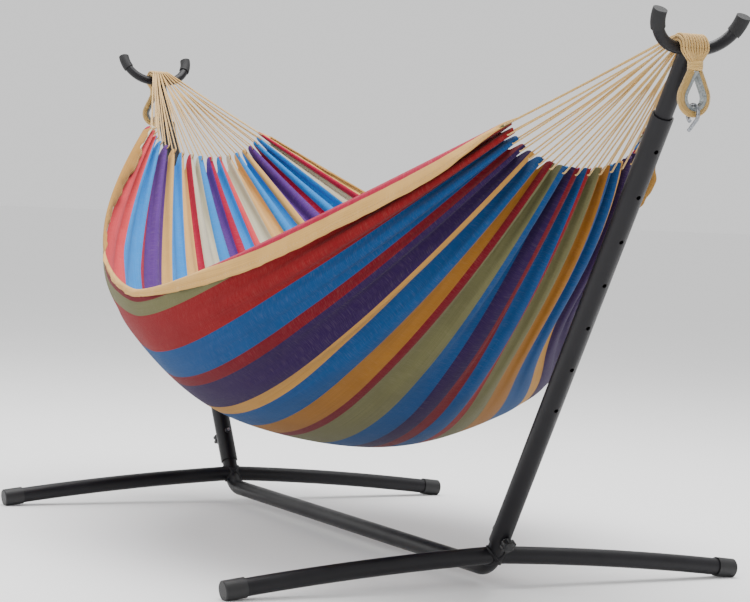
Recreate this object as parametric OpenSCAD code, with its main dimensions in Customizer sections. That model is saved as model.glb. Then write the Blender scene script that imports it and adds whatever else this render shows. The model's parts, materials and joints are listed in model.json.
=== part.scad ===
// Hammock on a two-footed steel stand.
// +Z is up, X runs along the stand from the far end (-X) to the near end (+X).
// The origin is on the floor, under the middle of the stand.

/* [Base] */
// Half of a foot's width, from the middle to the outside of its end cap
foot_half = 600; // [560:5:640]
// Distance from the middle of the stand to each foot
foot_x = 648; // [620:1:680]
// Height of a foot's axis where it meets the elbow
foot_z = 67; // [66:0.5:68]
// Outside diameter of the foot tubes, the elbows and the spine
foot_d = 36; // [34:0.5:38]
// Wall of the foot tubes, the elbows and the spine
foot_wall = 2; // [1.5:0.1:2.5]
// Downward slope of a foot at the elbow, in degrees
foot_slope_in = 2.3; // [2:0.1:2.6]
// Downward slope of a foot at its tip, in degrees
foot_slope_out = 7; // [6.6:0.1:7.4]
// Height of the spine's axis
spine_z = 37; // [34:0.5:40]
// Centreline radius of the bend between the spine and the arm
elbow_r = 65; // [55:1:75]
// Outside diameter of a foot's end cap
cap_d = 41; // [40:0.5:42]
// Length of a foot's end cap
cap_len = 46; // [40:1:52]

/* [Arms] */
// Outside diameter of the arm tube
arm_d = 42; // [41:0.5:44]
// Wall of the arm tube
arm_wall = 2.8; // [2.4:0.1:2.8]
// Lean of the arm away from vertical, in degrees
arm_lean = 30.4; // [28:0.1:33]
// Distance along the arm from the foot's axis to the hook bar's axis
arm_len = 1160; // [1120:5:1200]
// Distance along the arm from the foot's axis to the arm tube's lower end
arm_start = 34; // [30:1:38]
// Distance along the arm from the foot's axis to the arm tube's upper end
arm_end = 1023; // [1000:1:1040]
// Outside diameter of the upper tube that slides into the arm
upper_d = 34; // [32:0.5:35]
// Wall of the upper tube
upper_wall = 2; // [1.5:0.1:2.5]
// Length of the upper tube inside the arm
upper_inside = 190; // [170:5:220]
// Number of height holes in the outer side of each arm
hole_count = 7; // [3:1:7]
// Diameter of a height hole
hole_d = 9; // [8:0.5:10]
// Spacing of the height holes
hole_pitch = 97; // [90:1:100]
// Distance along the arm from the foot's axis to the top hole
hole_top = 958; // [950:1:970]

/* [Hook bar] */
// Outside diameter of the hook bar
hook_d = 22; // [20:0.5:24]
// Wall of the hook bar
hook_wall = 2; // [1.5:0.1:2.5]
// Half of the hook bar's width, between its tip axes
hook_half = 90; // [80:1:100]
// Centreline radius of the hook bar's bends
hook_bend = 72; // [68:1:74]
// Outside diameter of a hook bar's end cap
hook_cap_d = 27; // [26:0.5:28]
// Angle of the bend that an end cap covers, in degrees
hook_cap_turn = 29; // [24:1:32]

/* [Clamp knobs] */
// Diameter of a clamp knob
knob_d = 32; // [28:1:36]
// Height of a clamp knob
knob_h = 20; // [16:1:22]
// Diameter of the knob's bolt
bolt_d = 8; // [6:0.5:8]
// Distance along the arm from the foot's axis to the near knob
near_knob_at = 50; // [48:1:60]
// Distance along the arm from the foot's axis to the far knob
far_knob_at = 108; // [90:1:112]

/* [Hammock] */
// Distance from the middle of the stand to each end of the cloth
cloth_x = 905; // [890:1:920]
// Half of the cloth's width across its gathered ends
cloth_end_half = 160; // [140:1:180]
// Half of the cloth's width across its middle
cloth_mid_half = 555; // [520:5:580]
// Height of the cloth's long edges at its ends
cloth_end_top = 940; // [920:5:960]
// Height of the cloth's long edges at its middle
cloth_mid_top = 558; // [520:2:600]
// Height of the cloth's lowest line at its ends
cloth_end_low = 855; // [840:5:870]
// Height of the cloth's lowest line at its middle
cloth_mid_low = 215; // [200:5:240]
// Thickness of the cloth's solid
cloth_t = 4; // [3:0.5:5]
// Number of cord pairs at each end
cord_count = 18; // [10:2:18]
// Thickness of a cord pair
cord_d = 5; // [4:0.5:5]

/* [Eye and hook] */
// Width of the whipped eye, outside
eye_w = 70; // [66:1:74]
// Height of the whipped eye, outside
eye_h = 83; // [80:1:88]
// Thickness of the whipped eye's rope
eye_rope_d = 15; // [14:0.5:15]
// Diameter of the whipped neck
neck_d = 29; // [26:1:30]
// Height of the whipped neck
neck_h = 18; // [14:1:20]
// Thickness of the S-hook's rod
shook_d = 7; // [6:0.5:7.5]

/* [Hidden] */

fine = 96;
arc_fine = 1440;
eps = 0.01;

steel_colour = [0.10, 0.10, 0.12];
plastic_colour = [0.05, 0.05, 0.06];
zinc_colour = [0.65, 0.67, 0.70];
cord_colour = [0.80, 0.64, 0.36];
cloth_colour = [0.55, 0.12, 0.20];

// Spine and elbows
spine_end = 560;
spigot_len = 60;
spigot_wall = 2;
spigot_d = foot_d - 2*foot_wall - 0.2;
corner_x = foot_x - (foot_z - spine_z)*tan(arm_lean);
elbow_turn = 90 - arm_lean;
elbow_leg = elbow_r*tan(elbow_turn/2);
elbow_start_x = corner_x - elbow_leg;
elbow_top = 150;
bend_swell = 0.4;
foot_stub_d = foot_d - 2*foot_wall - 0.6;
foot_stub_len = 60;
weld_gap = 1;
weld_step = foot_d/4;
// How far from the elbow's axis the foot tube's bore clears the elbow
weld_clear = sqrt(pow((foot_d + bend_swell)/2, 2) - pow(foot_d/2 - foot_wall, 2));

// Feet: each is one arc, drawn here for the +Y side
cap_socket = 26;
cap_edge = 2;
tube_end_y = foot_half - (cap_len - cap_socket) - cap_edge;
foot_arc_r = tube_end_y/(sin(foot_slope_out) - sin(foot_slope_in));

// Arms
saddle_x = foot_x + arm_len*sin(arm_lean);
saddle_z = foot_z + arm_len*cos(arm_lean);
screw_at = arm_end - 28;
upper_top = arm_len - 6;
screw_d = 6;
screw_head_d = 11;
screw_head_h = 3.5;
hook_flat = hook_half - hook_bend;
hook_end_gap = 3;
washer_d = 20;
washer_t = 1.6;
nut_across = 13;
nut_h = 6.5;
knob_gap = 0.4;

// Cords over the saddle, measured from the hook bar's axis
wrap_in = hook_d/2 + 1.2;
wrap_t = 15;
wrap_half = 26;
wrap_start = 0;
wrap_end = 118;
tail_out = 2.8;
tail_x = saddle_x + wrap_in + wrap_t/2 + tail_out;
tail_gap = 8;
neck_top = saddle_z - 22;
neck_low = neck_top - neck_h;

// Eye: a ring with two straight legs that meet under the neck
eye_ring_r = (eye_w - eye_rope_d)/2;
eye_z = neck_low - eye_h + eye_w/2;
eye_leg_top = neck_low - eye_z;
eye_apex = sqrt(pow(eye_leg_top, 2) + pow(eye_rope_d/2, 2));
eye_leg_len = sqrt(pow(eye_apex, 2) - pow(eye_ring_r, 2));
eye_open = atan2(eye_rope_d/2, eye_leg_top) + acos(eye_ring_r/eye_apex);
thimble_t = 2.6;
thimble_half = 6.5;

// S-hook: a curl through the thimble, then a leg that bends to the arm
curl_r = 15.6;
curl_back = 60;
curl_z = eye_z - eye_ring_r;
shook_shank = 3;
shook_bend_r = 12;
shook_bend = 50;
shook_leg = 28;

// Cloth
cloth_steps = 32;
cloth_ribs = 24;
edge_bulge = 1.9;
edge_sag = 1.56;
low_sag = 1.9;
// The +Y side is drawn in along the near half, and the whole cloth shifts to keep its balance
pull_in = 0.32;
pull_at = 0.62;
pull_len = 0.33;
balance_shift = 19;
cord_end_gap = 4;
// Distance from the end of the saddle's wrap to the cords, so that they clear it as they swing
cord_start_gap = 10;

// ---- shared shapes ----

module far_side() {
    rotate([0, 0, 180]) children();
}

// A frame on the near arm: Z runs up the arm, X points to its outer side
module on_arm(along = 0) {
    translate([foot_x, 0, foot_z]) rotate([0, arm_lean, 0]) translate([0, 0, along]) children();
}

module along_x(from, to, d) {
    translate([from, 0, 0]) rotate([0, 90, 0]) cylinder(d = d, h = to - from, $fn = fine);
}

// An arc of round bar in the XZ plane, from one angle to another about the origin
module bar_arc(r, d, from, to) {
    rotate([90, 0, 0]) rotate([0, 0, from])
        rotate_extrude(angle = to - from, $fn = fine*2) translate([r, 0]) circle(d = d, $fn = fine);
}

// A straight bar that carries on from an arc's end, on (len > 0) or back (len < 0), and
// reaches lap back into the arc
module bar_leg(r, d, at, len, lap = 0) {
    rotate([90, 0, 0]) rotate([0, 0, at]) translate([r, len > 0 ? -lap : lap, 0])
        rotate([len > 0 ? -90 : 90, 0, 0]) cylinder(d = d, h = abs(len) + lap, $fn = fine);
}

// ---- base ----

module spine_tube() {
    color(steel_colour) translate([0, 0, spine_z]) difference() {
        along_x(-spine_end, spine_end, foot_d);
        along_x(-spine_end - 1, spine_end + 1, foot_d - 2*foot_wall);
    }
}

// The elbow's round bar of diameter d, from the spine up to a height along the arm. The bend
// swells a little over the straight legs, as a drawn tube does.
module elbow_bar(d, back_x, top) {
    translate([elbow_start_x, 0, spine_z + elbow_r]) {
        bar_leg(elbow_r, d, -90, back_x - elbow_start_x, 1);
        bar_arc(elbow_r, d + bend_swell, -90, -arm_lean);
        bar_leg(elbow_r, d, -arm_lean, top - elbow_leg, 1);
    }
}

module foot_stub() {
    translate([foot_x, 0, foot_z]) rotate([-90 - foot_slope_in, 0, 0])
        cylinder(d = foot_stub_d, h = foot_stub_len, $fn = fine);
}

module elbow(knob_at) {
    color(steel_colour) difference() {
        union() {
            elbow_bar(foot_d, spine_end, elbow_top);
            translate([0, 0, spine_z]) along_x(spine_end - spigot_len, spine_end + 1, spigot_d);
            foot_stub();
            mirror([0, 1, 0]) foot_stub();
        }
        elbow_bar(spigot_d - 2*spigot_wall, spine_end - spigot_len - 1, elbow_top + 1);
        on_arm(knob_at) along_x(-arm_d, arm_d, bolt_d + 0.4);
    }
}

// Sweep of a flat shape along the +Y foot, between two slopes
module foot_sweep(from, to) {
    translate([foot_x, -foot_arc_r*sin(foot_slope_in), foot_z - foot_arc_r*cos(foot_slope_in)])
        rotate([90, 0, 90]) rotate([0, 0, 90 - to])
            rotate_extrude(angle = to - from, $fn = arc_fine) translate([foot_arc_r, 0]) children();
}

// The foot tube's inner end is cut to follow the elbow, as for a weld to a tube of the same
// diameter
module foot_tube() {
    color(steel_colour) difference() {
        foot_sweep(foot_slope_in, foot_slope_out) difference() {
            circle(d = foot_d, $fn = fine);
            circle(d = foot_d - 2*foot_wall, $fn = fine);
        }
        on_arm() translate([-foot_d, 0, 0]) rotate([90, 0, 90]) linear_extrude(height = 2*foot_d)
            polygon(concat([for (z = [-foot_d : weld_step : foot_d])
                                [sqrt(pow(weld_clear, 2) + z*z) + weld_gap, z]],
                           [[-foot_d, foot_d], [-foot_d, -foot_d]]));
    }
}

// A frame at the foot tube's tip: Z runs on along the tube, outwards
module at_tip() {
    tip_y = foot_arc_r*(sin(foot_slope_out) - sin(foot_slope_in));
    tip_z = foot_z - foot_arc_r*(cos(foot_slope_in) - cos(foot_slope_out));
    translate([foot_x, tip_y, tip_z]) rotate([-90 - foot_slope_out, 0, 0]) children();
}

module foot_cap() {
    end_len = cap_len - cap_socket;
    color(plastic_colour) difference() {
        at_tip() {
            translate([0, 0, -cap_socket]) cylinder(d = cap_d, h = cap_len - cap_edge, $fn = fine);
            translate([0, 0, end_len - cap_edge - eps])
                cylinder(d1 = cap_d, d2 = cap_d - 2*cap_edge, h = cap_edge + eps, $fn = fine);
        }
        at_tip() translate([0, 0, -cap_socket - 1])
            cylinder(d = foot_d + 0.7, h = cap_socket + 1, $fn = fine);
        translate([foot_x - cap_d, 0, -cap_d]) cube([2*cap_d, 2*foot_half, cap_d]);
    }
}

// ---- arms ----

module arm(knob_at) {
    color(steel_colour) on_arm() difference() {
        translate([0, 0, arm_start]) cylinder(d = arm_d, h = arm_end - arm_start, $fn = fine);
        translate([0, 0, arm_start - 1])
            cylinder(d = arm_d - 2*arm_wall, h = arm_end - arm_start + 2, $fn = fine);
        for (i = [0 : hole_count - 1])
            translate([0, 0, hole_top - i*hole_pitch]) along_x(0, arm_d, hole_d);
        translate([0, 0, knob_at]) along_x(-arm_d, arm_d, bolt_d + 0.4);
        translate([0, 0, screw_at]) along_x(-arm_d, 0, screw_d + 0.1);
    }
}

module upper_arm() {
    low = arm_end - upper_inside;
    color(steel_colour) on_arm() difference() {
        translate([0, 0, low]) cylinder(d = upper_d, h = upper_top - low, $fn = fine);
        translate([0, 0, low - 1])
            cylinder(d = upper_d - 2*upper_wall, h = upper_top - low + 2, $fn = fine);
        for (i = [0 : hole_count - 1])
            if (hole_top - i*hole_pitch > low + hole_d)
                translate([0, 0, hole_top - i*hole_pitch]) along_x(0, arm_d, hole_d);
        translate([0, 0, screw_at]) along_x(-arm_d, 0, screw_d + 0.1);
        translate([0, -arm_d, arm_len]) rotate([-90, 0, 0])
            cylinder(d = hook_d + 0.1, h = 2*arm_d, $fn = fine);
    }
}

// Pan-head screw on the arm's inner side, which pins the upper tube at its height
module arm_screw() {
    color(steel_colour) on_arm(screw_at) {
        along_x(-arm_d/2 - 0.1, -upper_d/2 + upper_wall + 2, screw_d);
        along_x(-arm_d/2 - screw_head_h, -arm_d/2 - 0.05, screw_head_d);
    }
}

// Half of the hook bar's line, as a bar of diameter d, from the middle to a bend angle
module hook_half_bar(d, turn) {
    rotate([-90, 0, 0]) cylinder(d = d, h = hook_flat, $fn = fine);
    translate([0, hook_flat, hook_bend]) rotate([0, 0, 90]) bar_arc(hook_bend, d, -90, -90 + turn);
}

module hook_line(d, turn) {
    hook_half_bar(d, turn);
    mirror([0, 1, 0]) hook_half_bar(d, turn);
}

module hook_bar() {
    bar_turn = 90 - atan(hook_end_gap/hook_bend);
    color(steel_colour) on_arm(arm_len) difference() {
        hook_line(hook_d, bar_turn);
        hook_line(hook_d - 2*hook_wall, bar_turn + 1);
    }
}

// Sleeve over the +Y tip of the hook bar, with a closed end
module hook_cap() {
    first = -hook_cap_turn;
    color(plastic_colour) on_arm(arm_len) translate([0, hook_flat, hook_bend])
        rotate([0, 0, 90]) difference() {
            bar_arc(hook_bend, hook_cap_d, first, 0);
            bar_arc(hook_bend, hook_d + 0.1, first - 2, -atan(hook_end_gap/hook_bend));
        }
}

// ---- clamp knobs ----

module knob(at) {
    seat = arm_d/2 + washer_t + knob_gap;
    rim = knob_d*0.28;
    hub = knob_d*0.72;
    color(plastic_colour) on_arm(at) translate([seat, 0, 0]) rotate([0, 90, 0]) difference() {
        union() {
            cylinder(d = hub, h = knob_h - 4, $fn = fine);
            translate([0, 0, knob_h - 4]) cylinder(d1 = hub, d2 = hub - 10, h = 4, $fn = fine);
            for (i = [0 : 5]) rotate([0, 0, 60*i]) translate([knob_d/2 - rim/2, 0, 3])
                cylinder(d = rim, h = knob_h - 8, $fn = fine);
        }
        translate([0, 0, -1]) cylinder(d = bolt_d + 0.1, h = knob_h*0.6 + 1, $fn = fine);
    }
}

module knob_bolt(at) {
    seat = arm_d/2 + washer_t + knob_gap;
    color(zinc_colour) on_arm(at)
        along_x(-arm_d/2 - nut_h - 3, seat + knob_h*0.6 - 0.2, bolt_d);
}

module knob_washer(at) {
    color(zinc_colour) on_arm(at) difference() {
        along_x(arm_d/2, arm_d/2 + washer_t, washer_d);
        along_x(0, arm_d, bolt_d + 0.4);
    }
}

module clamp_nut(at) {
    color(plastic_colour) on_arm(at) difference() {
        translate([-arm_d/2 - nut_h, 0, 0]) rotate([0, 90, 0])
            cylinder(d = nut_across/cos(30), h = nut_h, $fn = 6);
        along_x(-arm_d, 0, bolt_d + 0.1);
    }
}

// ---- cords at the saddle, neck, eye, thimble and S-hook ----

module saddle_cords() {
    color(cord_colour) translate([saddle_x, 0, saddle_z]) rotate([90, 0, 0])
        rotate([0, 0, wrap_start]) rotate_extrude(angle = wrap_end - wrap_start, $fn = fine*2)
            translate([wrap_in, -wrap_half]) square([wrap_t, 2*wrap_half]);
}

module tail_cords() {
    color(cord_colour) hull() {
        translate([tail_x - 6, -wrap_half, saddle_z - tail_gap - 1]) cube([12, 2*wrap_half, 1]);
        translate([tail_x, 0, neck_top + 0.1]) cylinder(d = neck_d - 3, h = 1, $fn = 24);
    }
}

module neck() {
    color(cord_colour) translate([tail_x, 0, neck_low])
        cylinder(d = neck_d, h = neck_h, $fn = fine);
}

// The eye's line in the YZ plane, swept by a flat shape whose +X points out of the eye
module eye_sweep() {
    translate([tail_x, 0, eye_z]) rotate([90, 0, 90]) {
        rotate([0, 0, 90 + eye_open]) rotate_extrude(angle = 360 - 2*eye_open, $fn = fine*2)
            translate([eye_ring_r, 0]) children();
        eye_leg() children();
        mirror([1, 0, 0]) eye_leg() children();
    }
}

module eye_leg() {
    intersection() {
        rotate([0, 0, 90 - eye_open]) translate([eye_ring_r, 0, 0]) rotate([-90, 0, 0])
            linear_extrude(height = eye_leg_len + 4) children();
        translate([0, -eye_w, -eye_w]) cube([eye_w, eye_w + eye_leg_top - 0.1, 2*eye_w]);
    }
}

module eye() {
    color(cord_colour) eye_sweep() circle(d = eye_rope_d, $fn = fine);
}

// The thimble is a channel that hugs the inside of the eye
module thimble() {
    color(zinc_colour) eye_sweep() difference() {
        translate([-eye_rope_d/2 - thimble_t, -thimble_half])
            square([eye_rope_d/2 + thimble_t - 3, 2*thimble_half]);
        circle(d = eye_rope_d + 0.1, $fn = fine);
    }
}

module s_hook() {
    color(zinc_colour) translate([tail_x, 0, curl_z]) {
        bar_arc(curl_r, shook_d, 0, 180 + curl_back);
        bar_leg(curl_r, shook_d, 0, -shook_shank);
        translate([curl_r - shook_bend_r, 0, -shook_shank]) {
            bar_arc(shook_bend_r, shook_d, -shook_bend, 0);
            bar_leg(shook_bend_r, shook_d, -shook_bend, -shook_leg);
        }
    }
}

// ---- cloth and harness ----

function ease(s, power) = 1 - pow(abs(s), power);
function half_at(s) = cloth_end_half + (cloth_mid_half - cloth_end_half)*ease(s, edge_bulge);
function top_at(s) = cloth_end_top + (cloth_mid_top - cloth_end_top)*ease(s, edge_sag);
function pull_at_side(s, u) = u > 0 ? 1 - pull_in*exp(-pow((s - pull_at)/pull_len, 2)) : 1;
function low_at(s) = cloth_end_low + (cloth_mid_low - cloth_end_low)*ease(s, low_sag);

// A point of the cloth: s runs along it and u across it, both from -1 to 1
function cloth_point(s, u, inset) = [
    cloth_x*s,
    (half_at(s)*pull_at_side(s, u) - inset)*sin(90*u) + balance_shift*ease(s, 2),
    low_at(s) + inset + (top_at(s) - low_at(s) - inset)*(1 - cos(90*u))
];

module cloth() {
    row = cloth_ribs + 1;
    sheet = row*(cloth_steps + 1);
    points = [
        for (inset = [0, cloth_t]) for (i = [0 : cloth_steps]) for (j = [0 : cloth_ribs])
            cloth_point(2*i/cloth_steps - 1, 2*j/cloth_ribs - 1, inset)
    ];
    under = [for (i = [0 : cloth_steps - 1]) for (j = [0 : cloth_ribs - 1])
        let (a = i*row + j) each [[a, a + row, a + 1], [a + 1, a + row, a + row + 1]]];
    over = [for (f = under) [f[0] + sheet, f[2] + sheet, f[1] + sheet]];
    ends = [for (j = [0 : cloth_ribs - 1]) for (i = [0, cloth_steps])
        let (a = i*row + j, b = a + 1)
            each i == 0 ? [[a, b, a + sheet], [b, b + sheet, a + sheet]]
                        : [[b, a, a + sheet], [b, a + sheet, b + sheet]]];
    sides = [for (i = [0 : cloth_steps - 1]) for (j = [0, cloth_ribs])
        let (a = i*row + j, b = a + row)
            each j == 0 ? [[b, a, a + sheet], [b, a + sheet, b + sheet]]
                        : [[a, b, a + sheet], [b, b + sheet, a + sheet]]];
    color(cloth_colour) polyhedron(points = points, faces = concat(under, over, ends, sides));
}

// Where cord pair i leaves the saddle: two layers of columns across the hook bar, with the
// pair that goes higher up the cloth in the outer layer
function cord_start(i) =
    let (columns = cord_count/2, pitch = (2*wrap_half - cord_d)/(columns - 1),
         layer = floor(i/2) < (columns - 1)/2 ? 1 - i % 2 : i % 2, out = wrap_in + 3.4 + 7.6*layer)
    [saddle_x + out*cos(wrap_end) - cord_start_gap, (floor(i/2) - (columns - 1)/2)*pitch,
     saddle_z + out*sin(wrap_end) - 1];

// Where cord pair i meets the cloth's near end
function cord_stop(i) = cloth_point(1, (2*i + 1)/cord_count - 1, cloth_t/2) + [cord_end_gap, 0, 0];

module rod(from, to, d) {
    way = to - from;
    translate(from) rotate([0, 0, atan2(way[1], way[0])]) rotate([0, acos(way[2]/norm(way)), 0])
        cylinder(d = d, h = norm(way), $fn = 8);
}

module harness() {
    color(cord_colour) for (i = [0 : cord_count - 1]) rod(cord_start(i), cord_stop(i), cord_d);
}

// ---- assembly ----

spine_tube();
elbow(near_knob_at);  // near_elbow
far_side() elbow(far_knob_at);  // far_elbow
foot_tube();  // near_right_foot
mirror([0, 1, 0]) foot_tube();  // near_left_foot
far_side() foot_tube();  // far_left_foot
far_side() mirror([0, 1, 0]) foot_tube();  // far_right_foot
foot_cap();  // near_right_foot_cap
mirror([0, 1, 0]) foot_cap();  // near_left_foot_cap
far_side() foot_cap();  // far_left_foot_cap
far_side() mirror([0, 1, 0]) foot_cap();  // far_right_foot_cap
arm(near_knob_at);  // near_arm
far_side() arm(far_knob_at);  // far_arm
upper_arm();  // near_upper_arm
far_side() upper_arm();  // far_upper_arm
arm_screw();  // near_arm_screw
far_side() arm_screw();  // far_arm_screw
hook_bar();  // near_hook_bar
far_side() hook_bar();  // far_hook_bar
hook_cap();  // near_right_hook_cap
mirror([0, 1, 0]) hook_cap();  // near_left_hook_cap
far_side() hook_cap();  // far_left_hook_cap
far_side() mirror([0, 1, 0]) hook_cap();  // far_right_hook_cap
knob(near_knob_at);  // near_knob
far_side() knob(far_knob_at);  // far_knob
knob_bolt(near_knob_at);  // near_knob_bolt
far_side() knob_bolt(far_knob_at);  // far_knob_bolt
knob_washer(near_knob_at);  // near_knob_washer
far_side() knob_washer(far_knob_at);  // far_knob_washer
clamp_nut(near_knob_at);  // near_clamp_nut
far_side() clamp_nut(far_knob_at);  // far_clamp_nut
saddle_cords();  // near_saddle_cords
far_side() saddle_cords();  // far_saddle_cords
tail_cords();  // near_tail_cords
far_side() tail_cords();  // far_tail_cords
neck();  // near_neck
far_side() neck();  // far_neck
eye();  // near_eye
far_side() eye();  // far_eye
thimble();  // near_thimble
far_side() thimble();  // far_thimble
s_hook();  // near_s_hook
far_side() s_hook();  // far_s_hook
harness();  // near_harness
far_side() harness();  // far_harness
cloth();
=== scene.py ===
"""Hammock on a two-footed steel stand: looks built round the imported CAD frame.

Metres, +Z up, +X along the stand towards the near end. The far end repeats the near end,
turned half a turn about Z. The routes and the cloth's formula repeat those of part.scad.
"""
import json
import math

import bpy
import numpy as np
from mathutils import Matrix, Vector


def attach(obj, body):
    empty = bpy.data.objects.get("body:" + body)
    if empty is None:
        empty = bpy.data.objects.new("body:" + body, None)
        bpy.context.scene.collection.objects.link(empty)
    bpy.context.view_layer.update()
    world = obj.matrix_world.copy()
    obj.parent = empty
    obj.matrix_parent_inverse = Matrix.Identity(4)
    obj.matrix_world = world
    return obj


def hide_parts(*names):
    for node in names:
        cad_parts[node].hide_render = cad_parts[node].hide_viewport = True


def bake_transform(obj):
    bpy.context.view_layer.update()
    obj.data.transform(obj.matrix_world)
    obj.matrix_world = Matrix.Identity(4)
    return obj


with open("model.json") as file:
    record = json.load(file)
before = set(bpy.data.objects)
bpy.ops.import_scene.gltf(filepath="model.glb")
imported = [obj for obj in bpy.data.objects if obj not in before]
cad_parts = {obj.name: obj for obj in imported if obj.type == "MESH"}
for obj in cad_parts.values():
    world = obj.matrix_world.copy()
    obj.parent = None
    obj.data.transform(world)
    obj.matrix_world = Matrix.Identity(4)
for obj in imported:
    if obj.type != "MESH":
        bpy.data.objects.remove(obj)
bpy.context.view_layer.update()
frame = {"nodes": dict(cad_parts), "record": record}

# ---------------------------------------------------------------- camera
CAMERA_AT = Vector((4.5985, -2.3844, 0.7823))
CAMERA_TO = Vector((0.0847, 0.0, 0.5473))
CAMERA_ROLL = 0.0443
CAMERA_LENS = 109.9

camera_data = bpy.data.cameras.new("camera")
camera_data.lens = CAMERA_LENS
camera_data.sensor_width = 36
camera_data.clip_start, camera_data.clip_end = 0.05, 200
camera = bpy.data.objects.new("camera", camera_data)
bpy.context.scene.collection.objects.link(camera)
look = (CAMERA_TO - CAMERA_AT).to_track_quat("-Z", "Y").to_matrix().to_4x4()
camera.matrix_world = Matrix.Translation(CAMERA_AT) @ look @ Matrix.Rotation(CAMERA_ROLL, 4, "Z")
bpy.context.scene.camera = camera

# ---------------------------------------------------------------- sizes, as in part.scad
FOOT_X, FOOT_Z, FOOT_D = 0.648, 0.067, 0.036
FOOT_SLOPE = math.radians(2.3)
ARM_LEAN, ARM_LEN = math.radians(30.4), 1.160
HOOK_D = 0.022
SADDLE_X = FOOT_X + ARM_LEN * math.sin(ARM_LEAN)
SADDLE_Z = FOOT_Z + ARM_LEN * math.cos(ARM_LEAN)

WRAP_IN, WRAP_T, WRAP_HALF = HOOK_D / 2 + 0.0012, 0.015, 0.026
WRAP_END = math.radians(118)
TAIL_OUT = 0.0028
TAIL_X = SADDLE_X + WRAP_IN + WRAP_T / 2 + TAIL_OUT
NECK_TOP, NECK_H, NECK_D = SADDLE_Z - 0.022, 0.018, 0.029
NECK_LOW = NECK_TOP - NECK_H
EYE_W, EYE_H, EYE_ROPE_D = 0.070, 0.083, 0.015
EYE_RING_R = (EYE_W - EYE_ROPE_D) / 2
EYE_Z = NECK_LOW - EYE_H + EYE_W / 2
EYE_LEG_TOP = NECK_LOW - EYE_Z
EYE_APEX = math.hypot(EYE_LEG_TOP, EYE_ROPE_D / 2)
EYE_LEG_LEN = math.sqrt(EYE_APEX**2 - EYE_RING_R**2)
EYE_OPEN = math.atan2(EYE_ROPE_D / 2, EYE_LEG_TOP) + math.acos(EYE_RING_R / EYE_APEX)

CLOTH_X, CLOTH_T = 0.905, 0.004
END_HALF, MID_HALF = 0.160, 0.555
END_TOP, MID_TOP = 0.940, 0.558
END_LOW, MID_LOW = 0.855, 0.215
EDGE_BULGE, EDGE_SAG, LOW_SAG = 1.9, 1.56, 1.9
PULL_IN, PULL_AT, PULL_LEN, BALANCE_SHIFT = 0.32, 0.62, 0.33, 0.019
CORDS, PAIR_D = 18, 0.005
CORD_START_GAP, CORD_START_DROP = 0.010, 0.001
LAYER_IN, LAYER_STEP = 0.0034, 0.0076

CORD_D, STRAND_D = 0.0034, 0.0046
LAY_LENGTH, STRAND_LAY = 0.016, 0.019
LEG_Y, LEG_R = 0.00147, 0.0019  # how far a loop's two legs lie from its middle at the saddle

rng = np.random.default_rng(7)


# ---------------------------------------------------------------- mesh helpers
def turned(points, far):
    """The near end's points, or the same turned half a turn about Z for the far end."""
    points = np.asarray(points, float)
    return points * np.array([-1, -1, 1]) if far else points


def unit(v):
    return v / np.maximum(np.linalg.norm(v, axis=-1, keepdims=True), 1e-12)


def piece(name, verts, faces, materials, uv=None, face_slots=None):
    """A smooth mesh object. uv holds one pair for each vertex."""
    mesh = bpy.data.meshes.new(name)
    points = [tuple(v) for v in np.asarray(verts, float)]
    mesh.from_pydata(points, [], [tuple(map(int, f)) for f in faces])
    for m in materials if isinstance(materials, (list, tuple)) else [materials]:
        mesh.materials.append(m)
    mesh.polygons.foreach_set("use_smooth", [True] * len(mesh.polygons))
    if face_slots is not None:
        mesh.polygons.foreach_set("material_index", list(map(int, face_slots)))
    if uv is not None:
        layer = mesh.uv_layers.new(name="UVMap")
        index = np.zeros(len(mesh.loops), np.int32)
        mesh.loops.foreach_get("vertex_index", index)
        layer.data.foreach_set("uv", np.asarray(uv, np.float32)[index].ravel())
    mesh.validate()
    mesh.update()
    obj = bpy.data.objects.new(name, mesh)
    bpy.context.scene.collection.objects.link(obj)
    return obj


def grid_faces(rows, cols, wrap=False):
    """Quads of a grid with that many rows and columns, closed round its columns with wrap."""
    i, j = np.meshgrid(np.arange(rows - 1), np.arange(cols if wrap else cols - 1), indexing="ij")
    a, b = i * cols + j, i * cols + (j + 1) % cols
    return np.stack([a, b, b + cols, a + cols], -1).reshape(-1, 4)


def transported(path):
    """Tangents and two side directions along a path, turned as little as can be."""
    path = np.asarray(path, float)
    tangent = unit(np.gradient(path, axis=0))
    seed = np.array([0.0, 0.0, 1.0]) if abs(tangent[0][2]) < 0.9 else np.array([1.0, 0.0, 0.0])
    side = unit(np.cross(tangent[0], seed))
    sides = [side]
    for t in tangent[1:]:
        side = unit(side - t * (side @ t))
        sides.append(side)
    sides = np.array(sides)
    return tangent, sides, np.cross(tangent, sides)


def distances(path):
    """How far along a path each of its points lies."""
    return np.concatenate([[0], np.cumsum(np.linalg.norm(np.diff(path, axis=0), axis=1))])


def resampled(path, count):
    """The same path with that many points, evenly spaced."""
    path = np.asarray(path, float)
    along = distances(path)
    at = np.linspace(0, along[-1], count)
    return np.stack([np.interp(at, along, path[:, k]) for k in range(3)], 1)


def length_of(path):
    return float(np.linalg.norm(np.diff(np.asarray(path, float), axis=0), axis=1).sum())


LOBE_MEAN = 0.6


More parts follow.
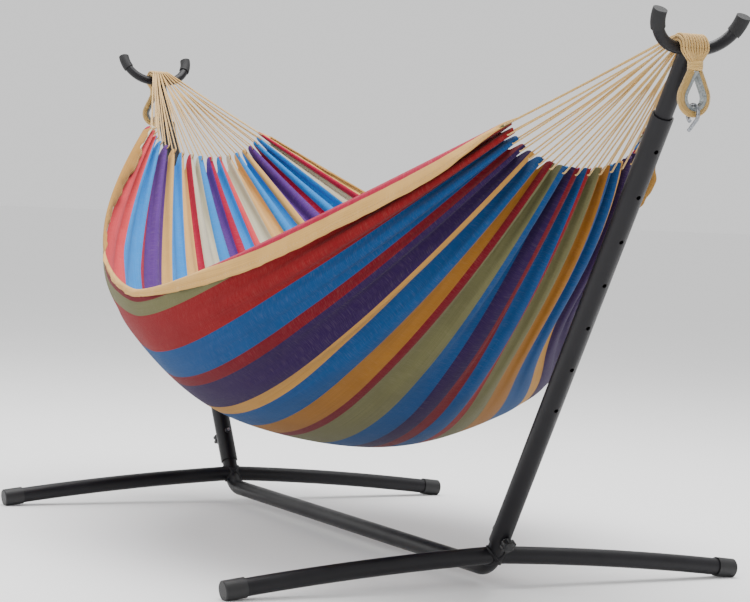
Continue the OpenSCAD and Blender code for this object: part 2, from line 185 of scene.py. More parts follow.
def tube(path, radius, sides=10, lobes=0, depth=0.0, lay=LAY_LENGTH, phase=0.0, closed=False):
    """A tube round a path. With lobes, its section is that of a rope whose lay turns along it."""
    path = np.asarray(path, float)
    n = len(path)
    radius = np.broadcast_to(np.asarray(radius, float), (n,))
    tangent, a, b = transported(path)
    if closed:
        tangent = unit(np.roll(path, -1, 0) - np.roll(path, 1, 0))
        a = unit(a - tangent * (a * tangent).sum(1, keepdims=True))
        b = np.cross(tangent, a)
    along = distances(path)
    angle = np.linspace(0, 2 * math.pi, sides, endpoint=False)
    if lobes:
        turn = 2 * math.pi * along / lay + phase
        around = angle[None, :] + turn[:, None]
        swell = 1 + depth * (np.abs(np.cos(lobes * angle / 2)) - LOBE_MEAN)
    else:
        around, swell = np.broadcast_to(angle, (n, sides)), np.ones(sides)
    r = radius[:, None] * swell[None, :]
    outward = np.cos(around)[..., None] * a[:, None] + np.sin(around)[..., None] * b[:, None]
    verts = (path[:, None] + r[..., None] * outward).reshape(-1, 3)
    uv = np.stack([np.broadcast_to(np.arange(sides) / sides, (n, sides)),
                   np.broadcast_to(along[:, None], (n, sides))], -1).reshape(-1, 2)
    faces = [tuple(f) for f in grid_faces(n, sides, True)]
    last = (n - 1) * sides
    if closed:
        faces += [(last + j, last + (j + 1) % sides, (j + 1) % sides, j) for j in range(sides)]
    else:
        verts = np.concatenate([verts, path[:1], path[-1:]])
        uv = np.concatenate([uv, uv[:1], uv[-1:]])
        first_centre, last_centre = n * sides, n * sides + 1
        faces += [(first_centre, (j + 1) % sides, j) for j in range(sides)]
        faces += [(last_centre, last + j, last + (j + 1) % sides) for j in range(sides)]
    return verts, faces, uv


def joined(parts):
    """Several (verts, faces, uv) as one."""
    verts, faces, uv, start = [], [], [], 0
    for v, f, t in parts:
        verts.append(v)
        uv.append(t)
        faces += [tuple(int(x) + start for x in face) for face in f]
        start += len(v)
    return np.concatenate(verts), faces, np.concatenate(uv)


# ---------------------------------------------------------------- materials
def linear(r, g, b):
    """An sRGB colour, 0 to 255, as a linear RGBA."""
    return tuple(c / 255 / 12.92 if c <= 10.3 else ((c / 255 + 0.055) / 1.055) ** 2.4
                 for c in (r, g, b)) + (1.0,)


class Nodes:
    """A short way to write a Principled material's nodes."""

    def __init__(self, name):
        self.material = bpy.data.materials.new(name)
        self.material.use_nodes = True
        self.tree = self.material.node_tree
        self.shader = self.tree.nodes["Principled BSDF"]

    def add(self, kind, inputs=None, **settings):
        node = self.tree.nodes.new(kind)
        for key, value in settings.items():
            setattr(node, key, value)
        for key, value in (inputs or {}).items():
            if isinstance(value, bpy.types.NodeSocket):
                self.tree.links.new(value, node.inputs[key])
            else:
                node.inputs[key].default_value = value
        return node

    def set(self, **values):
        for key, value in values.items():
            socket = self.shader.inputs[key.replace("_", " ")]
            if isinstance(value, bpy.types.NodeSocket):
                self.tree.links.new(value, socket)
            else:
                socket.default_value = value

    def noise(self, vector, scale, detail=3.0, roughness=0.5):
        inputs = {"Vector": vector, "Scale": scale, "Detail": detail, "Roughness": roughness}
        return self.add("ShaderNodeTexNoise", inputs).outputs["Fac"]

    def streaks(self, vector, scale, detail=1.0, roughness=0.5):
        """Noise with a scale of its own along each axis."""
        placed = self.add("ShaderNodeMapping", {"Vector": vector, "Scale": scale}).outputs[0]
        return self.noise(placed, 1.0, detail, roughness)

    def spread(self, value, low, high, start=0.0, end=1.0):
        inputs = {0: value, 1: start, 2: end, 3: low, 4: high}
        return self.add("ShaderNodeMapRange", inputs).outputs[0]

    def maths(self, operation, a, b=0.0):
        return self.add("ShaderNodeMath", {0: a, 1: b}, operation=operation).outputs[0]

    def mix(self, factor, a, b, blend="MIX"):
        node = self.add("ShaderNodeMix", data_type="RGBA", blend_type=blend)
        for key, value in ((0, factor), (6, a), (7, b)):
            if isinstance(value, bpy.types.NodeSocket):
                self.tree.links.new(value, node.inputs[key])
            else:
                node.inputs[key].default_value = value
        return node.outputs[2]

    def bump(self, height, distance, strength=1.0, normal=None):
        inputs = {"Height": height, "Distance": distance, "Strength": strength}
        if normal is not None:
            inputs["Normal"] = normal
        return self.add("ShaderNodeBump", inputs).outputs[0]


def object_place(n):
    return n.add("ShaderNodeTexCoord").outputs["Object"]


def powder_coat():
    n = Nodes("charcoal_powder_coat")
    at = object_place(n)
    peel = n.noise(at, 900.0, 2.0)
    speck = n.noise(at, 2600.0, 1.0)
    cloud = n.noise(at, 14.0, 4.0)
    shade = n.spread(cloud, 0.0, 1.0, 0.35, 0.65)
    colour = n.mix(shade, linear(12, 11, 15), linear(18, 17, 21))
    fleck = n.spread(speck, 0.0, 0.3, 0.64, 0.80)
    n.set(Base_Color=n.mix(fleck, colour, linear(66, 63, 74)),
          Roughness=n.spread(cloud, 0.34, 0.46, 0.3, 0.7),
          Normal=n.bump(speck, 0.0002, 0.35, n.bump(peel, 0.0006, 0.5)),
          Specular_IOR_Level=0.26, Coat_Weight=0.04, Coat_Roughness=0.3)
    return n.material


def moulded(name, dark, light, rough, grain=1500.0):
    """Dark plastic, rubber or blacked steel with a fine grain, paler where it is rubbed."""
    n = Nodes(name)
    at = object_place(n)
    fine = n.noise(at, grain, 2.0)
    cloud = n.noise(at, 35.0, 3.0)
    rub = n.noise(at, 160.0, 5.0, 0.7)
    colour = n.mix(n.spread(cloud, 0.0, 1.0, 0.3, 0.7), dark, light)
    n.set(Base_Color=n.mix(n.spread(rub, 0.0, 0.35, 0.58, 0.8), colour, linear(46, 45, 48)),
          Roughness=n.spread(fine, rough - 0.07, rough + 0.1),
          Normal=n.bump(fine, 0.0004, 0.55))
    return n.material


def zinc(name, dark, light, rough):
    """Galvanised steel: pale crystals of different brightness, dulled by handling."""
    n = Nodes(name)
    at = object_place(n)
    cells = n.add("ShaderNodeTexVoronoi", {"Vector": at, "Scale": 420.0, "Randomness": 1.0})
    grey = n.add("ShaderNodeSeparateColor", {0: cells.outputs["Color"]}).outputs[0]
    dull = n.noise(at, 120.0, 5.0, 0.65)
    n.set(Base_Color=n.mix(n.spread(dull, 0.0, 0.6, 0.5, 0.75), n.mix(grey, dark, light), dark),
          Roughness=n.spread(grey, rough, rough + 0.18),
          Normal=n.bump(dull, 0.0003, 0.4), Metallic=1.0)
    return n.material


def cord_material(name, pale, deep):
    """Twisted cord: fibres that follow the strands, with painted shade darkening the lay's grooves.
    """
    n = Nodes(name)
    uv = n.add("ShaderNodeTexCoord").outputs["UV"]
    at = object_place(n)
    parts = n.add("ShaderNodeSeparateXYZ", {0: uv})
    groove_painted_shade = n.maths("COSINE", n.maths("MULTIPLY", parts.outputs[0], 3 * math.pi))
    groove_painted_shade = n.maths("ABSOLUTE", groove_painted_shade)
    fibre = n.streaks(uv, (26.0, 900.0, 1.0), 3.0, 0.6)
    fluff = n.noise(at, 1400.0, 3.0, 0.7)
    stain = n.noise(at, 28.0, 3.0)
    # painted shade: the deep colour in the lay's grooves, the pale colour on the strands' crests
    colour = n.mix(n.spread(groove_painted_shade, 0.35, 1.0, 0.0, 0.55), deep, pale)
    colour = n.mix(n.spread(fibre, 0.0, 0.45, 0.45, 0.75), colour, deep)
    colour = n.mix(n.spread(stain, 0.0, 0.3, 0.4, 0.7), colour, pale)
    height = n.maths("ADD", n.maths("MULTIPLY", fibre, 0.6), n.maths("MULTIPLY", fluff, 0.5))
    n.set(Base_Color=colour, Roughness=n.spread(fluff, 0.78, 0.95),
          Normal=n.bump(height, 0.0005, 0.7),
          Sheen_Weight=0.35, Sheen_Roughness=0.5, Specular_IOR_Level=0.2)
    return n.material


# The stripes from the camera-side edge across to the other edge: name and share of the width
STRIPES = [
    ("tan", 28), ("crimson", 26), ("sage", 44), ("brick", 118), ("blue", 92), ("crimson", 32),
    ("purple", 90), ("tan", 30), ("blue", 68), ("gold", 52), ("crimson", 24), ("sage", 66),
    ("blue", 50), ("purple", 36), ("crimson", 26), ("blue", 48), ("brick", 24), ("sage", 60),
    ("gold", 62), ("blue", 70), ("tan", 28), ("purple", 92), ("crimson", 30), ("blue", 92),
    ("sage", 48), ("crimson", 28), ("tan", 30),
]
STRIPE_SUM = sum(w for _, w in STRIPES)
FLAT_W = 1.464
FLAT_L = 2.24
# the stripe colours twice: the outside copy darkened as painted shade, the inside copy lightened as
# painted light
OUTSIDE_PAINTED_SHADE = {
    "tan": (168, 124, 60), "crimson": (98, 5, 22), "sage": (98, 96, 64), "brick": (120, 16, 22),
    "blue": (8, 62, 112), "purple": (38, 17, 62), "gold": (138, 92, 32),
}
INSIDE_PAINTED_LIGHT = {
    "tan": (204, 160, 92), "crimson": (160, 12, 54), "sage": (188, 182, 158),
    "brick": (208, 66, 74), "blue": (38, 128, 200), "purple": (84, 46, 122), "gold": (206, 160, 96),
}
WARP_PITCH, WEFT_PITCH = 0.0011, 0.0014


def cloth_material(name, colours, slubs):
    """Plain-woven cotton whose warp makes the stripes; U is metres across and V metres along."""
    n = Nodes(name)
    uv = n.add("ShaderNodeTexCoord").outputs["UV"]
    at = object_place(n)
    parts = n.add("ShaderNodeSeparateXYZ", {0: uv})
    across, along = parts.outputs[0], parts.outputs[1]
    wander = n.streaks(uv, (900.0, 6.0, 1.0))
    ramp = n.add("ShaderNodeValToRGB", {0: n.maths("DIVIDE", across, FLAT_W)})
    ramp.color_ramp.interpolation = "CONSTANT"
    stops = ramp.color_ramp.elements
    place = 0.0
    for i, (colour, width) in enumerate(STRIPES):
        stop = stops[i] if i < 2 else stops.new(0.999)  # a ramp starts with two stops
        stop.position = place / STRIPE_SUM
        stop.color = linear(*colours[colour])
        place += width
    # warp threads of slightly different shade, and the undyed weft that shows between them
    thread = n.streaks(uv, (1300.0, 3.0, 1.0))
    slub = n.streaks(uv, (40.0, 700.0, 1.0), 2.0)
    cloud = n.noise(at, 9.0, 4.0, 0.6)
    dark = n.mix(1.0, ramp.outputs[0], (0.62, 0.60, 0.62, 1), "MULTIPLY")
    colour = n.mix(n.spread(thread, 0.0, 0.55, 0.42, 0.72), ramp.outputs[0], dark)
    colour = n.mix(n.spread(slub, 0.0, slubs, 0.5, 0.8), colour, linear(214, 196, 170))
    colour = n.mix(n.spread(cloud, 0.0, 0.35, 0.45, 0.75), colour, dark)
    warp = n.maths("SINE", n.maths("MULTIPLY", across, 2 * math.pi / WARP_PITCH))
    weft = n.maths("SINE", n.maths("MULTIPLY", along, 2 * math.pi / WEFT_PITCH))
    weave = n.maths("MULTIPLY", n.maths("MULTIPLY", warp, weft), 0.35)
    height = n.maths("ADD", weave, n.maths("ADD", slub, wander))
    n.set(Base_Color=colour, Roughness=n.spread(thread, 0.82, 0.95),
          Normal=n.bump(height, 0.0003, 0.5),
          Sheen_Weight=0.08, Sheen_Roughness=0.45, Specular_IOR_Level=0.15)
    return n.material


COAT = powder_coat()
CAP = moulded("matt_plastic_caps", linear(10, 10, 12), linear(17, 17, 19), 0.5)
RUBBER = moulded("soft_rubber_sleeves", linear(10, 10, 12), linear(17, 17, 19), 0.68, 1100.0)
KNOB = moulded("grained_knobs", linear(12, 12, 14), linear(20, 20, 22), 0.42, 2100.0)
BLACKED = moulded("blacked_steel", linear(30, 30, 33), linear(44, 43, 46), 0.36, 1800.0)
ZINC = zinc("zinc_plated_steel", (0.42, 0.43, 0.45, 1), (0.66, 0.68, 0.72, 1), 0.26)
GALVANISED = zinc("galvanised_thimble", (0.20, 0.22, 0.22, 1), (0.40, 0.43, 0.43, 1), 0.38)
HOOK_STEEL = zinc("galvanised_hook", (0.17, 0.18, 0.19, 1), (0.36, 0.37, 0.40, 1), 0.30)
CORD = cord_material("twisted_cord", linear(208, 172, 108), linear(150, 110, 54))
WHIPPING = cord_material("whipping_cord", linear(218, 182, 112), linear(160, 118, 54))
THREAD = cord_material("hem_thread", linear(196, 160, 104), linear(150, 110, 60))
# outside faces: stripe colours darkened as painted shade; inside faces: a lighter copy as painted
# light
CLOTH_OUT_PAINTED_SHADE = cloth_material("striped_cloth_outside_painted_shade", OUTSIDE_PAINTED_SHADE, 0.06)
CLOTH_IN_PAINTED_LIGHT = cloth_material("striped_cloth_inside_painted_light", INSIDE_PAINTED_LIGHT, 0.12)

SLOT_MATERIALS = {
    "charcoal_tube": COAT, "black_cap": CAP, "hook_cap": RUBBER, "black_knob": KNOB,
    "black_steel": BLACKED, "zinc_steel": ZINC, "thimble_steel": GALVANISED,
    "hook_steel": HOOK_STEEL, "cord": CORD, "whipping": WHIPPING, "striped_cloth": CLOTH_OUT_PAINTED_SHADE,
}
for part in frame["record"]["subparts"]:
    node = frame["nodes"][part["node"]]
    node.data.materials.clear()
    node.data.materials.append(SLOT_MATERIALS[part["material_slot"]])


# ---------------------------------------------------------------- cloth
def smooth(value, low, high):
    t = np.clip((value - low) / (high - low), 0, 1)
    return t * t * (3 - 2 * t)


def cloth_base(s, u, inset=CLOTH_T / 2):
    """part.scad's cloth: s runs along it and u across it, both from -1 to 1."""
    bulge = 1 - np.abs(s) ** EDGE_BULGE
    half = END_HALF + (MID_HALF - END_HALF) * bulge
    top = END_TOP + (MID_TOP - END_TOP) * (1 - np.abs(s) ** EDGE_SAG)
    low = END_LOW + (MID_LOW - END_LOW) * (1 - np.abs(s) ** LOW_SAG)
    angle = math.pi / 2 * u
    pull = np.where(u > 0, 1 - PULL_IN * np.exp(-(((s - PULL_AT) / PULL_LEN) ** 2)), 1.0)
    shift = BALANCE_SHIFT * (1 - s**2)
    return np.stack([CLOTH_X * s + 0 * u, (half * pull - inset) * np.sin(angle) + shift,
                     low + inset + (top - low - inset) * (1 - np.cos(angle))], -1)


def base_normal(s, u):
    """The cloth's outward direction, away from whoever lies in it."""
    d = 1e-4
    s = np.clip(s, -1 + 2 * d, 1 - 2 * d)
    along = cloth_base(s + d, u) - cloth_base(s - d, u)
    over = cloth_base(s, np.clip(u + d, -1, 1)) - cloth_base(s, np.clip(u - d, -1, 1))
    return unit(np.cross(over, along))


PLEAT_SIZE = rng.uniform(0.72, 1.22, CORDS + 1)
PLEAT_FADE = rng.uniform(1.0, 2.1, CORDS + 1)
PLEAT_LEAN = rng.uniform(-0.12, 0.12, CORDS + 1)
WAVES = [(rng.uniform(1.4, 4.2), rng.uniform(-1.6, 1.6), rng.uniform(0, 6.3), rng.uniform(0.4, 1.0))
         for _ in range(7)]
PLEAT_FROM, PLEAT_ROUND, PLEAT_CREST = 0.12, 0.055, 0.8
END_DEPTH, RIM_DEPTH, SLACK = 0.0125, 0.35, 0.0022
NOTCH, NOTCH_SHAPE, NOTCH_FADE = 0.026, 3.0, 9


def cloth_at(s, p):
    """The hung cloth's middle surface; p runs across it from 0 to 1."""
    t = p * CORDS
    k = np.clip(t, 0, CORDS)
    size, fade, lean = (np.interp(k, np.arange(CORDS + 1), values)
                        for values in (PLEAT_SIZE, PLEAT_FADE, PLEAT_LEAN))
    deep = np.clip((np.abs(s) - PLEAT_FROM) / (1 - PLEAT_FROM), 0, 1) ** fade
    rim = smooth(p, 0.0, 0.5 / CORDS) * smooth(1 - p, 0.0, 0.5 / CORDS)
    # rounded pleats, wide at their crests, with the cords at the crests
    sway = PLEAT_ROUND * np.sin(4 * math.pi * t) + lean * np.sin(2 * math.pi * t)
    u = np.clip(2 * (t + sway * deep * rim) / CORDS - 1, -1, 1)
    crest = -np.cos(2 * math.pi * t)
    crest = np.sign(crest) * np.abs(crest) ** PLEAT_CREST
    fold = np.sign(s) * END_DEPTH * size * deep * crest * (RIM_DEPTH + (1 - RIM_DEPTH) * rim)
    # scalloped ends between the loops
    notch = NOTCH * (np.cos(math.pi * t) ** 2) ** NOTCH_SHAPE
    s_now = s * (1 - notch * np.abs(s) ** NOTCH_FADE)
    # slack waves in the middle
    slack = sum(a * np.sin(2 * math.pi * (f * p + g * s * 0.5) + c) for f, g, c, a in WAVES)
    slack = SLACK * slack * (1 - np.abs(s) ** 3)
    return cloth_base(s_now, u) + (fold + slack)[..., None] * base_normal(s_now, u)


# a turned-over edge's width, and the places along s between which it grows from nothing
NEAR_OUT, NEAR_OUT_MORE = (0.016, -0.34, -0.10), (0.032, 0.0, 0.55)
NEAR_IN, FAR_IN = (0.030, 0.42, 0.62), (0.056, -0.05, 0.45)
FLIP_FROM, FLIP_TO = -0.38, -0.30
FLAP_MIN = 0.0035


def grown(s, width, low, high):
    return width * smooth(s, low, high)


def near_flap(s):
    """The width turned over at the camera-side edge, and whether it lies out (1) or in (-1)."""
    out = grown(s, *NEAR_OUT) + grown(s, *NEAR_OUT_MORE)
    width = np.maximum(np.maximum(out, grown(-s, *NEAR_IN)), FLAP_MIN)
    return width, smooth(s, FLIP_FROM, FLIP_TO) * 2 - 1


def far_flap(s):
    """The same for the other edge, which is turned in all the way."""
    return np.maximum(grown(s, *FAR_IN), FLAP_MIN), -np.ones_like(s)


def shade_shift(s, p):
    """Where a point of the hung cloth lies across the flat cloth, from 0 to 1."""
    return 1 - (1 - p) ** (1.15 + 0.12 * s)


ROWS, ROW_CROWDING, PER_PLEAT, FLAP_COLS, SLOPE_COLS = 281, 0.86, 14, 8, 4
FLAP_GAP, FLAP_ROUND, FLAP_BOW = 0.003, 0.14, 0.004
# each ripple's height, its rate along s, its shift across the flap and its start
FLAP_RIPPLES = ((0.0022, 46, 3, 0), (0.0015, 113, 0, 1.3), (0.0010, 187, -2, 0))


def build_cloth():
    """The hung cloth's middle surface with its turned edges, and each point's place laid flat."""
    crowding = math.pi / 2 * ROW_CROWDING
    s = np.sin(np.linspace(-1, 1, ROWS) * crowding) / math.sin(crowding)
    p = np.linspace(0, 1, CORDS * PER_PLEAT + 1)
    sg, pg = np.meshgrid(s, p, indexing="ij")
    middle = cloth_at(sg, pg)
    near_width, near_way = near_flap(s)
    far_width, far_way = far_flap(s)
    laid = FLAT_W - near_width - far_width
    across = near_width[:, None] + laid[:, None] * shade_shift(sg, pg)
    columns, flat = [], []
    for width, way, near in ((near_width, near_way, True), (far_width, far_way, False)):
        edge = middle[:, 0 if near else -1]
        down = unit(middle[:, SLOPE_COLS if near else -1 - SLOPE_COLS] - edge)
        normal = base_normal(s * 0.999, np.full_like(s, -1.0 if near else 1.0))
        side, tone = [], []
        for q in np.linspace(1, 0, FLAP_COLS + 1)[:-1]:
            lift = FLAP_GAP * min(1.0, math.sqrt(q / FLAP_ROUND)) + FLAP_BOW * math.sin(math.pi * q)
            wave = sum(height * np.sin(s * rate + shift * q + start)
                       for height, rate, shift, start in FLAP_RIPPLES)
            off = (way * (lift + wave * q))[:, None]
            side.append(edge + down * (width * q)[:, None] + normal * off)
            tone.append(width * (1 - q) if near else FLAT_W - width * (1 - q))
        side, tone = np.stack(side, 1), np.stack(tone, 1)
        columns.append(side if near else side[:, ::-1])
        flat.append(tone if near else tone[:, ::-1])
    verts = np.concatenate([columns[0], middle, columns[1]], 1)
    across = np.concatenate([flat[0], across, flat[1]], 1)
    along = np.broadcast_to((s * FLAT_L / 2 + FLAT_L / 2)[:, None], across.shape)
    return verts, np.stack([across, along], -1)


SHEET_T = 0.0012
cloth_grid, cloth_uv = build_cloth()


def grid_normals(grid):
    return unit(np.cross(np.gradient(grid, axis=1), np.gradient(grid, axis=0)))


def shell(grid, uv, thickness):
    """A closed cloth from a grid of its middle surface: outside faces get slot 0, inside slot 1."""
    rows, cols = grid.shape[:2]
    normal = grid_normals(grid)
    outer, inner = grid + normal * thickness / 2, grid - normal * thickness / 2
    count = rows * cols
    faces = grid_faces(rows, cols)
    index = np.arange(count).reshape(rows, cols)
    ring = np.concatenate([index[0, :-1], index[:-1, -1], index[-1, :0:-1], index[:0:-1, 0]])
    after = np.roll(ring, -1)
    rim = np.stack([ring, ring + count, after + count, after], -1)
    all_faces = np.concatenate([faces, faces[:, ::-1] + count, rim])
    slots = np.concatenate([np.zeros(len(faces)), np.ones(len(faces)), np.zeros(len(rim))])
    return (np.concatenate([outer.reshape(-1, 3), inner.reshape(-1, 3)]), all_faces,
            np.concatenate([uv.reshape(-1, 2)] * 2), slots)


verts, faces, uv, slots = shell(cloth_grid, cloth_uv, SHEET_T)
# outside faces take the painted-shade stripe colours, inside faces the painted-light ones
cloth = piece("cloth_sheet", verts, faces, [CLOTH_OUT_PAINTED_SHADE, CLOTH_IN_PAINTED_LIGHT], uv, slots)
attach(cloth, "hammock")
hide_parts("cloth")


# ---------------------------------------------------------------- hem stitches
STITCH_STEP, STITCH_LONG, THREAD_D = 0.0095, 0.0062, 0.0011
STITCH_SAMPLE, STITCH_MARGIN = 0.001, 12
STITCH_RISE = np.array([0.0002, 0.0008, 0.0008, 0.0002])
HEM_COLUMN = 2


def stitch_row(column):
    """Short threads sunk into the cloth along one column of its grid, shown on both faces."""
    line = cloth_grid[:, column]
    line = resampled(line, int(length_of(line) / STITCH_SAMPLE))
    normal = grid_normals(cloth_grid)[:, column]
    share, at = np.linspace(0, 1, len(normal)), np.linspace(0, 1, len(line))
    normal = unit(np.stack([np.interp(at, share, normal[:, k]) for k in range(3)], 1))
    step, long = int(STITCH_STEP / STITCH_SAMPLE), int(STITCH_LONG / STITCH_SAMPLE)
    parts = []
    for way in (1, -1):
        for a in range(STITCH_MARGIN, len(line) - step - STITCH_MARGIN, step):
            at = np.linspace(a, a + long, len(STITCH_RISE)).astype(int)
            parts.append(tube(line[at] + way * normal[at] * STITCH_RISE[:, None], THREAD_D / 2, 6))
    return joined(parts)


for name, column in (("near_hem_stitches", HEM_COLUMN),
                     ("far_hem_stitches", cloth_grid.shape[1] - 1 - HEM_COLUMN)):
    verts, faces, uv = stitch_row(column)
    thread = piece(name, verts, faces, THREAD, uv)
    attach(thread, "hammock")


# ---------------------------------------------------------------- cords
LOOP_BEND, LOOP_REACH, CORD_SAG = 2.1, 0.007, 0.0016
CORD_SIDES, CORD_LOBES, CORD_LOBE_DEPTH, RINGS_PER_LAY = 9, 3, 0.28, 7


def cord_start(i):
    """Where loop i leaves the saddle, as in part.scad."""
    columns = CORDS / 2
    pitch = (2 * WRAP_HALF - PAIR_D) / (columns - 1)
    column = i // 2
    layer = 1 - i % 2 if column < (columns - 1) / 2 else i % 2
    out = WRAP_IN + LAYER_IN + LAYER_STEP * layer
    return np.array([SADDLE_X + out * math.cos(WRAP_END) - CORD_START_GAP,
                     (column - (columns - 1) / 2) * pitch,
                     SADDLE_Z + out * math.sin(WRAP_END) - CORD_START_DROP]), out


def loop_path(i, far):
    """One cord: from the saddle to the cloth, through its hem and back to the saddle."""
    start, _ = cord_start(i)
    s_end = -1.0 if far else 1.0
    p = (i + 0.5) / CORDS
    p_here = 1 - p if far else p
    place = turned(cloth_at(np.array([s_end]), np.array([p_here]))[0], far)
    way = unit(place - start)
    out = turned(base_normal(np.array([s_end * 0.99]), np.array([2 * p_here - 1]))[0], far)
    out = unit(out - way * (out @ way))
    turn = place + way * LOOP_REACH
    angle = np.linspace(-math.pi / 2, math.pi / 2, 25)
    round_way = np.cos(angle)[:, None] * way + np.sin(angle)[:, None] * out
    bend = turn + LOOP_BEND * CORD_D * round_way
    gap = np.array([0, LEG_Y, 0])
    radial = unit(start - np.array([SADDLE_X, start[1], SADDLE_Z])) * LEG_R
    a, b = start - gap - radial, start + gap + radial
    share = np.linspace(0, 1, 24)[:-1, None]
    sag = CORD_SAG * np.sin(math.pi * share)
    first = a + (bend[0] - a) * share - sag * [0, 0, 1]
    last = bend[-1] + (b - bend[-1]) * (1 - share[::-1]) - sag[::-1] * [0, 0, 1]
    return turned(np.concatenate([first, bend, last]), far)


for end, far in (("near", False), ("far", True)):
    for i in range(CORDS):
        path = loop_path(i, far)
        long = length_of(path)
        path = resampled(path, int(long / LAY_LENGTH * RINGS_PER_LAY))
        verts, faces, uv = tube(path, CORD_D / 2, CORD_SIDES, CORD_LOBES, CORD_LOBE_DEPTH,
                                LAY_LENGTH, i * 1.3)
        cord = piece(f"{end}_cord_{i + 1:02d}", verts, faces, CORD, uv)
        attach(cord, "hammock")
        if i == 0:
            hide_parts(f"{end}_harness")


# ---------------------------------------------------------------- saddle and tail strands
STRAND_ROPE = {"sides": 10, "lobes": 3, "depth": 0.26, "lay": STRAND_LAY}
STRAND_LOW_R, STRAND_WOBBLE = 0.0021, 0.00022
STRAND_SINK, PACK_X, PACK_Y = 0.006, 0.9, 0.92
ARC_RINGS, SADDLE_RINGS, TAIL_RINGS = 26, 34, 16
WRAP_MID = WRAP_IN + WRAP_T / 2


def strand_radius(i, leg):
    return cord_start(i)[1] + (LEG_R if leg else -LEG_R)


def strand_y(i, leg):
    return cord_start(i)[0][1] + (LEG_Y if leg else -LEG_Y)


def saddle_strand(i, leg, angles):
    """Over the hook bar, at the strand's own radius."""
    r, y = strand_radius(i, leg), strand_y(i, leg)
    return np.stack([SADDLE_X + r * np.cos(angles), np.full_like(angles, y),
                     SADDLE_Z + r * np.sin(angles)], -1)


def tail_strand(i, leg, count=14):
    """Down from the saddle into the neck, where the strands draw together."""
    r, y = strand_radius(i, leg), strand_y(i, leg)
    top = np.array([SADDLE_X + r, y, SADDLE_Z])
    packed = NECK_D / 2 - STRAND_D
    low = np.array([TAIL_X + (r - WRAP_MID) / (WRAP_T / 2) * packed * PACK_X,
                    y / WRAP_HALF * packed * PACK_Y, NECK_TOP - STRAND_SINK])
    t = np.linspace(0, 1, count)[:, None]
    ease = t * t * (3 - 2 * t)
    return top + (low - top) * np.concatenate([ease, ease, t], 1)


def strand(path, rings, middle, radii, phase):
    """A rope with evenly spaced rings and three radii: at its start, at middle and at its end."""
    width = np.interp(np.linspace(0, 1, rings), [0, middle, 1], radii)
    return tube(resampled(path, rings), width, phase=phase, **STRAND_ROPE)


for end, far in (("near", False), ("far", True)):
    over, down = [], []
    for i in range(CORDS):
        for leg in (0, 1):
            phase = 1.7 * i + 0.9 * leg
            wobble = rng.normal(0, STRAND_WOBBLE, 3)
            arc = saddle_strand(i, leg, np.linspace(WRAP_END, -0.02, ARC_RINGS))
            away = np.array([-CORD_START_GAP, 0, -CORD_START_DROP])
            lead = arc[0] + away * np.linspace(1.05, 0.2, 6)[:, None]
            over.append(strand(turned(np.concatenate([lead, arc]) + wobble, far), SADDLE_RINGS,
                               0.4, [CORD_D / 2, STRAND_D / 2, STRAND_D / 2], phase))
            down.append(strand(turned(tail_strand(i, leg) + wobble, far), TAIL_RINGS,
                               0.5, [STRAND_D / 2, STRAND_D / 2, STRAND_LOW_R], phase + 2.2))
    verts, faces, uv = joined(over)
    saddle = piece(f"{end}_saddle_strands", verts, faces, CORD, uv)
    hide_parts(f"{end}_saddle_cords")
    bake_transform(saddle)
    verts, faces, uv = joined(down)
    tail = piece(f"{end}_tail_strands", verts, faces, CORD, uv)
    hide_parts(f"{end}_tail_cords")
    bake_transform(tail)


# ---------------------------------------------------------------- whipped neck and eye
WHIP_D, EYE_WHIP_R = 0.0028, 0.0013


def helix_round(path, radius, pitch, steps):
    """A line wound round a path, with that many points to a turn."""
    count = int(length_of(path) / pitch * steps)
    path = resampled(path, count)
    _, a, b = transported(path)
    turn = 2 * math.pi * np.arange(count) / steps
    return path + radius * (np.cos(turn)[:, None] * a + np.sin(turn)[:, None] * b)


def neck_line(inset, count):
    """Down the neck's middle, from inset below its top to inset above its foot."""
    drop = np.linspace(NECK_TOP - inset, NECK_LOW + inset, count)
    return np.stack([np.full(count, TAIL_X), np.zeros(count), drop], -1)


def eye_path():
    """Down one leg of the eye, round its ring and up the other leg."""
    ring = np.linspace(math.pi / 2 + EYE_OPEN, 2.5 * math.pi - EYE_OPEN, 90)
    points = np.stack([EYE_RING_R * np.cos(ring), EYE_RING_R * np.sin(ring)], -1)
    first_way = np.array([-math.sin(ring[0]), math.cos(ring[0])])
    last_way = np.array([-math.sin(ring[-1]), math.cos(ring[-1])])
    leg = np.linspace(EYE_LEG_LEN, 0, 22)[:-1, None]
    points = np.concatenate([points[0] - first_way * leg, points,
                             points[-1] + last_way * leg[::-1]])
    return np.stack([np.full(len(points), TAIL_X), points[:, 0], EYE_Z + points[:, 1]], -1)


for end, far in (("near", False), ("far", True)):
    wound = helix_round(neck_line(WHIP_D / 2, 20), NECK_D / 2 - WHIP_D / 2 - 0.0002,
                        WHIP_D * 0.98, 40)
    core = neck_line(0.0005, 12)
    verts, faces, uv = joined([tube(turned(wound, far), WHIP_D / 2, 9, 3, 0.22, 0.009),
                               tube(turned(core, far), NECK_D / 2 - WHIP_D, 32)])
    neck = piece(f"{end}_whipped_neck", verts, faces, WHIPPING, uv)
    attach(neck, f"{end}_tail")
    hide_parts(f"{end}_neck")
    line = eye_path()
    wound = helix_round(line, EYE_ROPE_D / 2 - EYE_WHIP_R, 0.0025, 16)
    verts, faces, uv = joined([tube(turned(wound, far), EYE_WHIP_R, 7, 2, 0.2, 0.006),
                               tube(turned(line, far), EYE_ROPE_D / 2 - 0.0020, 20)])
    eye = piece(f"{end}_whipped_eye", verts, faces, WHIPPING, uv)
    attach(eye, f"{end}_tail")
    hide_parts(f"{end}_eye")


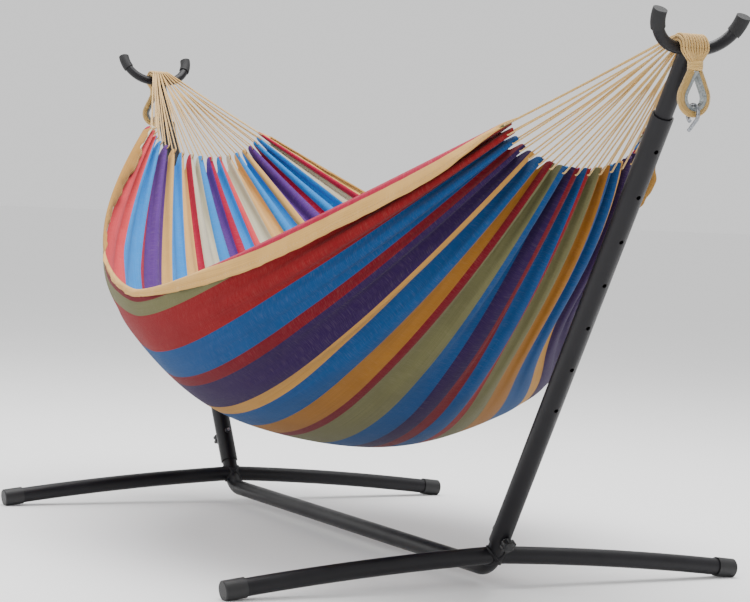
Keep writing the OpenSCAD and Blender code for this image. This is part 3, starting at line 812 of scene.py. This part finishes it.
# ---------------------------------------------------------------- weld beads
FOOT_WALL, BEND_SWELL, WELD_GAP = 0.002, 0.0004, 0.001
ELBOW_R = (FOOT_D + BEND_SWELL) / 2
WELD_CLEAR = math.sqrt(ELBOW_R**2 - (FOOT_D / 2 - FOOT_WALL) ** 2)
COLLAR_R, COLLAR_T, COLLAR_LAP = FOOT_D / 2 + 0.0002, 0.0006, 0.001
BEAD_R, BEAD_RIPPLE, BEAD_RIPPLES, WELD_STEPS = 0.0027, 0.14, 34, 120


def foot_ring(r, theta, y):
    """Points round the +Y foot tube, at an angle from the arm's outer side and y along the foot."""
    phi = theta - ARM_LEAN
    c, d = math.cos(FOOT_SLOPE), math.sin(FOOT_SLOPE)
    up = r * np.sin(phi)
    return np.stack([FOOT_X + r * np.cos(phi), c * y + d * up, FOOT_Z - d * y + c * up], -1)


# a collar closes the gap that the CAD leaves at the elbow, and the bead runs round the seam
theta = np.linspace(0, 2 * math.pi, WELD_STEPS, endpoint=False)
seam = np.sqrt(np.maximum(ELBOW_R**2 - (COLLAR_R * np.cos(theta)) ** 2, 0))
cut = np.sqrt(WELD_CLEAR**2 + (COLLAR_R * np.sin(theta)) ** 2) + WELD_GAP
collar_rings = np.stack([foot_ring(COLLAR_R, theta, seam - COLLAR_LAP),
                         foot_ring(COLLAR_R, theta, cut + 0.0015),
                         foot_ring(COLLAR_R - COLLAR_T, theta, cut + 0.0005),
                         foot_ring(COLLAR_R - COLLAR_T, theta, seam - COLLAR_LAP)])
collar_faces = [tuple(f) for f in grid_faces(4, WELD_STEPS, True)]
last = 3 * WELD_STEPS
collar_faces += [(last + j, last + (j + 1) % WELD_STEPS, (j + 1) % WELD_STEPS, j)
                 for j in range(WELD_STEPS)]
bead_line = foot_ring(COLLAR_R, theta, seam)
bead_r = BEAD_R * (1 + BEAD_RIPPLE * np.sin(theta * BEAD_RIPPLES))

for end, far in (("near", False), ("far", True)):
    for side, way in (("right", 1), ("left", -1)):
        flip = np.array([1, way, 1])
        collar = turned(collar_rings * flip, far).reshape(-1, 3)
        bead = tube(turned(bead_line * flip, far), bead_r, 10, closed=True)
        verts, faces, uv = joined([bead, (collar, collar_faces, collar[:, :2])])
        weld = piece(f"{end}_{side}_weld", verts, faces, COAT, uv)
        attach(weld, "stand")

# ---------------------------------------------------------------- floor and light
FLOOR_HALF, FLOOR_Z = 60, -0.0005
floor_nodes = Nodes("pale_floor")
cloudy = floor_nodes.noise(object_place(floor_nodes), 1.4, 3.0)
pale, paler = (0.93, 0.93, 0.93, 1), (0.955, 0.955, 0.955, 1)
floor_nodes.set(Base_Color=floor_nodes.mix(cloudy, pale, paler), Roughness=0.85)
corners = [(x * FLOOR_HALF, y * FLOOR_HALF, FLOOR_Z)
           for x, y in ((-1, -1), (1, -1), (1, 1), (-1, 1))]
floor = piece("floor", corners, [(0, 1, 2, 3)], floor_nodes.material)

world = bpy.data.worlds.new("studio")
bpy.context.scene.world = world
world.use_nodes = True
world.node_tree.nodes["Background"].inputs[0].default_value = (1.0, 1.0, 1.0, 1)
world.node_tree.nodes["Background"].inputs[1].default_value = 1.0


def softbox(name, at, to, size, power):
    data = bpy.data.lights.new(name, "AREA")
    data.shape, data.size, data.size_y = "RECTANGLE", size[0], size[1]
    data.energy = power
    light = bpy.data.objects.new(name, data)
    bpy.context.scene.collection.objects.link(light)
    at, to = Vector(at), Vector(to)
    facing = (to - at).to_track_quat("-Z", "Y").to_matrix().to_4x4()
    light.matrix_world = Matrix.Translation(at) @ facing


softbox("top_light", (-0.4, 0.3, 4.2), (0, 0, 0.6), (4.0, 3.0), 300)
softbox("front_light", (3.6, -4.6, 2.6), (0, 0, 0.6), (3.0, 2.0), 90)
softbox("rim_light", (-3.0, -3.4, 2.2), (0, 0, 0.7), (2.0, 2.0), 45)
